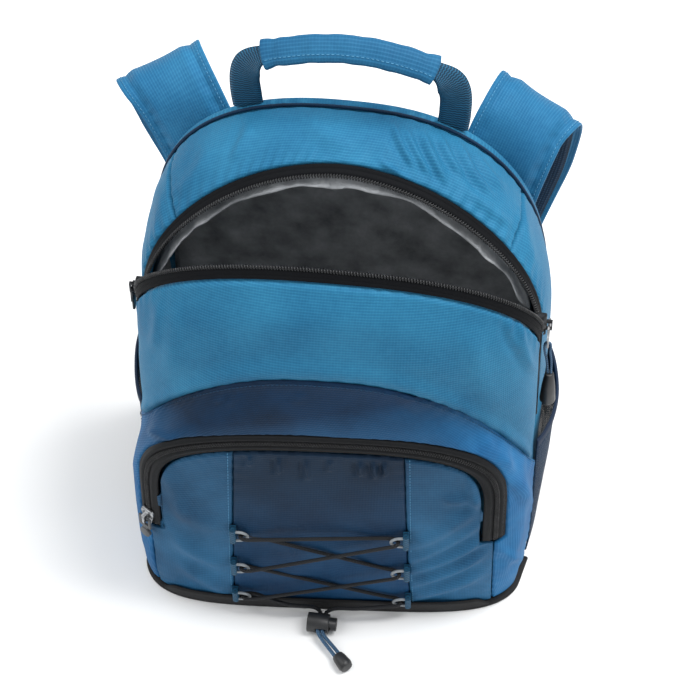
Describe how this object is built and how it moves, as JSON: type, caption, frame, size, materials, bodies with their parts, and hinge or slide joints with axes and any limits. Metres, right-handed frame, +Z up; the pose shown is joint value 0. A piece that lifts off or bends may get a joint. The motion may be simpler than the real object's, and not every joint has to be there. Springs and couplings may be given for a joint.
{
  "type": "cooler backpack",
  "caption": "Soft insulated backpack that stands open, with an arched top zip, a laced front pocket with its own zip, net side pockets, a carry handle and padded shoulder straps.",
  "frame": {"origin": "on the floor, on the underside of the floor panel, under the middle of the bag's width", "axes": "+Z up, front pocket towards -Y, back panel and shoulder straps towards +Y, +X to the right seen from the front"},
  "size_m": [0.3376, 0.321, 0.4284],
  "materials": {
    "blue ripstop": "matt woven polyester with a fine rib",
    "navy ripstop": "matt woven polyester with a fine rib",
    "blue strap cloth": "matt woven polyester over foam",
    "navy mesh": "knitted mesh, matt",
    "navy binding": "woven tape, matt",
    "navy webbing": "ribbed woven webbing",
    "black base cloth": "coated cloth, low sheen",
    "silver liner": "heat-reflecting film on cloth, soft sheen",
    "black zip": "woven tape with a nylon coil",
    "slider metal": "dark nickel colour, semi-gloss",
    "blue cord": "braided cord",
    "black cord": "braided elastic cord",
    "black plastic": "moulded, satin",
    "grey plastic": "moulded, satin"
  },
  "bodies": {
    "bag": {"front_panel": "blue ripstop", "gusset_left": "blue ripstop", "gusset_right": "blue ripstop", "gusset_top": "blue ripstop", "back_panel": "blue ripstop", "base_panel": "black base cloth", "liner_front": "silver liner", "liner_gusset": "silver liner", "liner_back": "silver liner", "liner_floor": "silver liner", "main_zip_upper": "black zip", "main_zip_lower": "black zip", "pocket_gusset": "navy ripstop", "pocket_panel_centre": "navy ripstop", "pocket_panel_left": "navy ripstop", "pocket_panel_right": "navy ripstop", "pocket_zip": "black zip", "main_slider_left": "slider metal", "main_slider_right": "slider metal", "mesh_pocket_left": "navy mesh", "mesh_binding_left": "navy binding", "mesh_pocket_right": "navy mesh", "mesh_binding_right": "navy binding", "lace_ring_left_top": "grey plastic", "lace_ring_left_middle": "grey plastic", "lace_ring_left_bottom": "grey plastic", "lace_ring_right_top": "grey plastic", "lace_ring_right_middle": "grey plastic", "lace_ring_right_bottom": "grey plastic", "lace_tab_left_top": "navy webbing", "lace_tab_left_middle": "navy webbing", "lace_tab_left_bottom": "navy webbing", "lace_tab_right_top": "navy webbing", "lace_tab_right_middle": "navy webbing", "lace_tab_right_bottom": "navy webbing", "lace_cord": "black cord", "cord_lock": "black plastic", "lace_tail_left": "blue cord", "lace_tail_right": "blue cord", "lace_end": "black plastic", "handle_webbing": "navy webbing", "handle_grip": "blue ripstop", "ladder_lock_left": "black plastic", "shoulder_strap_left": "blue strap cloth", "strap_lining_left": "navy mesh", "strap_webbing_left": "navy webbing", "ladder_lock_right": "black plastic", "shoulder_strap_right": "blue strap cloth", "strap_lining_right": "navy mesh", "strap_webbing_right": "navy webbing", "pocket_slider": "slider metal"},
    "left_pull": {"main_pull_left": "slider metal"},
    "right_pull": {"main_pull_right": "slider metal", "pull_cord_right": "blue cord", "cord_grip_right": "black plastic"},
    "pocket_pull": {"pocket_pull": "grey plastic"},
    "lock_button": {"cord_lock_button": "black plastic"}
  },
  "joints": [
    {"name": "left_pull_swing", "type": "hinge", "parent": "bag", "child": "left_pull", "pos_m": [-0.14208, -0.008, 0.255], "axis": [0, 1, 0], "range_deg": [0, 150]},
    {"name": "right_pull_swing", "type": "hinge", "parent": "bag", "child": "right_pull", "pos_m": [0.14991, -0.008, 0.26], "axis": [0, -1, 0], "range_deg": [0, 150]},
    {"name": "pocket_pull_swing", "type": "hinge", "parent": "bag", "child": "pocket_pull", "pos_m": [-0.12752, -0.09669, 0.10108], "axis": [-0.8466, 0.5322, 0], "range_deg": [0, 150]},
    {"name": "lock_button_press", "type": "slide", "parent": "bag", "child": "lock_button", "axis": [-1, 0, 0], "range_m": [0, 0.003], "stiffness_N_per_m": 300}
  ]
}
